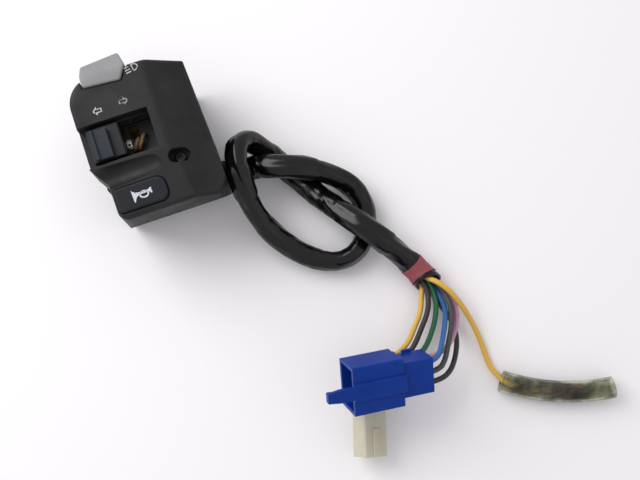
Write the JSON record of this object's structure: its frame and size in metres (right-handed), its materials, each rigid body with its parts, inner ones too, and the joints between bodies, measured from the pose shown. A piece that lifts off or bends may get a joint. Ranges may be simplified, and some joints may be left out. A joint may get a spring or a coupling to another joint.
{
  "type": "handlebar switch cluster",
  "caption": "Two-shell handlebar switch cluster with a rocking dimmer, a turn signal slider, a horn push button, and a knotted harness ending in plug connectors.",
  "frame": {"origin": "centre of the handlebar bore, on its axis", "axes": "+X along the handlebar towards the rider's side of the bike's centre line, +Y up the switch face, +Z out of the switch face; the back of the rear shell is the flat it lies on"},
  "size_m": [0.1705, 0.1905, 0.046],
  "materials": {
    "housing_abs": "moulded, fine grain, slightly worn",
    "base_plastic": "moulded, plain",
    "grommet_rubber": "matte",
    "zinc_screws": "zinc plated",
    "spring_steel": "bright",
    "contact_brass": "stamped",
    "tinned_brass": "tinned",
    "carriage_plastic": "satin",
    "pad_plastic": "satin, slate",
    "dimmer_grey_plastic": "satin, light grey",
    "horn_plastic": "satin, white pictogram",
    "sleeve_pvc": "glossy soft vinyl",
    "tape_red": "adhesive tape",
    "wire_yellow_pvc": "extruded",
    "wire_brown_pvc": "extruded",
    "wire_green_pvc": "extruded",
    "wire_blue_pvc": "extruded",
    "wire_grey_pvc": "extruded",
    "wire_pink_pvc": "extruded",
    "wire_black_pvc": "extruded",
    "connector_blue_nylon": "moulded",
    "connector_natural_nylon": "moulded, milky",
    "bullet_clear_vinyl": "clear vinyl, greenish"
  },
  "bodies": {
    "root": {"blue_connector_housing": "connector_blue_nylon", "blue_connector_terminals": "tinned_brass", "bullet_sleeve": "bullet_clear_vinyl", "bullet_terminal": "tinned_brass", "clamp_screws": "zinc_screws", "dimmer_base": "base_plastic", "dimmer_base_screws": "zinc_screws", "dimmer_fixed_contacts": "contact_brass", "dimmer_pivot_pin": "spring_steel", "front_shell": "housing_abs", "harness_grommet": "grommet_rubber", "harness_sleeve": "sleeve_pvc", "horn_base": "base_plastic", "horn_base_screws": "zinc_screws", "horn_fixed_contacts": "contact_brass", "horn_spring": "spring_steel", "inner_loom": "wire_grey_pvc", "natural_connector_housing": "connector_natural_nylon", "natural_connector_terminals": "tinned_brass", "rear_shell": "housing_abs", "sleeve_tape_band": "tape_red", "switch_base_screw": "zinc_screws", "turn_base": "base_plastic", "turn_base_screws": "zinc_screws", "turn_fixed_contacts": "contact_brass", "window_solder_tag": "tinned_brass", "window_wires": "wire_brown_pvc", "wire_black": "wire_black_pvc", "wire_blue": "wire_blue_pvc", "wire_brown": "wire_brown_pvc", "wire_green": "wire_green_pvc", "wire_grey": "wire_grey_pvc", "wire_pink": "wire_pink_pvc", "wire_yellow": "wire_yellow_pvc", "wire_yellow_long": "wire_yellow_pvc"},
    "dimmer_knob": {"dimmer_knob": "dimmer_grey_plastic", "dimmer_plunger": "contact_brass", "dimmer_spring": "spring_steel"},
    "dimmer_rocker": {"dimmer_contact_rocker": "contact_brass"},
    "turn_slider": {"turn_carriage": "carriage_plastic", "turn_knob": "pad_plastic", "turn_contact_bridge": "contact_brass", "turn_detent_ball": "spring_steel", "turn_detent_spring": "spring_steel"},
    "horn_button": {"horn_button": "horn_plastic", "horn_contact_plate": "contact_brass"}
  },
  "joints": [
    {"name": "dimmer_rock", "type": "hinge", "parent": "root", "child": "dimmer_knob", "pos_m": [-0.0084, 0.021, 0.017], "axis": [1, 0, 0], "range_deg": [-14, 0]},
    {"name": "dimmer_see_saw", "type": "hinge", "parent": "root", "child": "dimmer_rocker", "pos_m": [-0.0084, 0.021, 0.00745], "axis": [1, 0, 0], "range_deg": [0, 10]},
    {"name": "turn_slide", "type": "slide", "parent": "root", "child": "turn_slider", "axis": [1, 0, 0], "range_m": [0, 0.0106]},
    {"name": "horn_push", "type": "slide", "parent": "root", "child": "horn_button", "axis": [0, 0, -1], "range_m": [0, 0.0025], "stiffness_N_per_m": 400, "springref_m": -0.002, "deforming": ["horn_spring"]}
  ],
  "couplings": [
    {"joint": "dimmer_see_saw", "follows": "dimmer_rock", "ratio": -0.71429}
  ]
}
